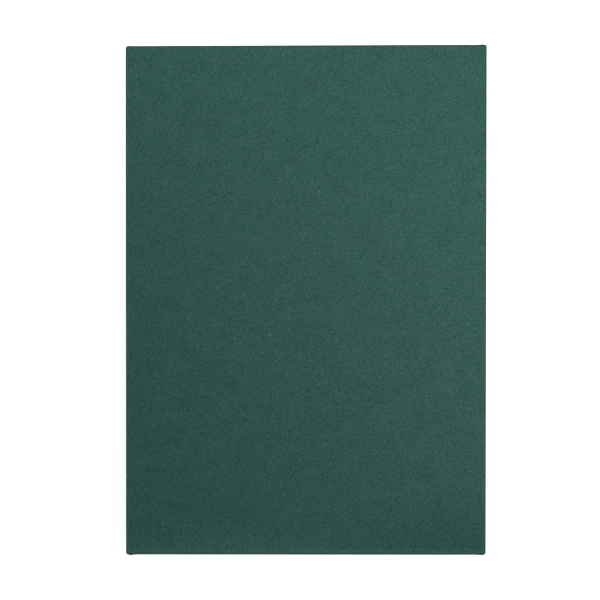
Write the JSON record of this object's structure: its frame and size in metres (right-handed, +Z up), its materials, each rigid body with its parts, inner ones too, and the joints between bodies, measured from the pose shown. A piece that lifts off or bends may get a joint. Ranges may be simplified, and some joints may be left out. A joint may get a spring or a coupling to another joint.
{
  "type": "boxed notebook",
  "caption": "Cloth-covered presentation box with a lift-off lid, holding a matching case-bound notebook in its tray.",
  "frame": {"origin": "middle of the box's footprint, on the surface it stands on", "axes": "+Z up through the lid, +Y towards the notebook's head, +X towards its fore edge"},
  "size_m": [0.1578, 0.2232, 0.0273],
  "materials": {
    "book_cloth": "matte",
    "greyboard": "matte",
    "lining_paper": "matte",
    "pages": "matte",
    "gauze": "matte",
    "headband": "satin"
  },
  "bodies": {
    "base": {"base_board": "greyboard", "base_wall_spine_side": "greyboard", "base_wall_fore_side": "greyboard", "base_wall_head": "greyboard", "base_wall_tail": "greyboard", "base_cloth": "book_cloth", "base_underside_cloth": "book_cloth", "base_floor_lining": "lining_paper", "notebook_back_board": "greyboard", "notebook_front_board": "greyboard", "notebook_spine_board": "greyboard", "notebook_case_cloth": "book_cloth", "text_block": "pages", "back_endpaper": "lining_paper", "front_endpaper": "lining_paper", "spine_lining": "gauze", "head_band": "headband", "tail_band": "headband"},
    "lid": {"lid_top_board": "greyboard", "lid_wall_spine_side": "greyboard", "lid_wall_fore_side": "greyboard", "lid_wall_head": "greyboard", "lid_wall_tail": "greyboard", "lid_cloth": "book_cloth", "lid_lining": "lining_paper"}
  },
  "joints": [
    {"name": "lid_lift", "type": "slide", "parent": "base", "child": "lid", "axis": [0, 0, 1], "range_m": [0, 0.09]}
  ]
}
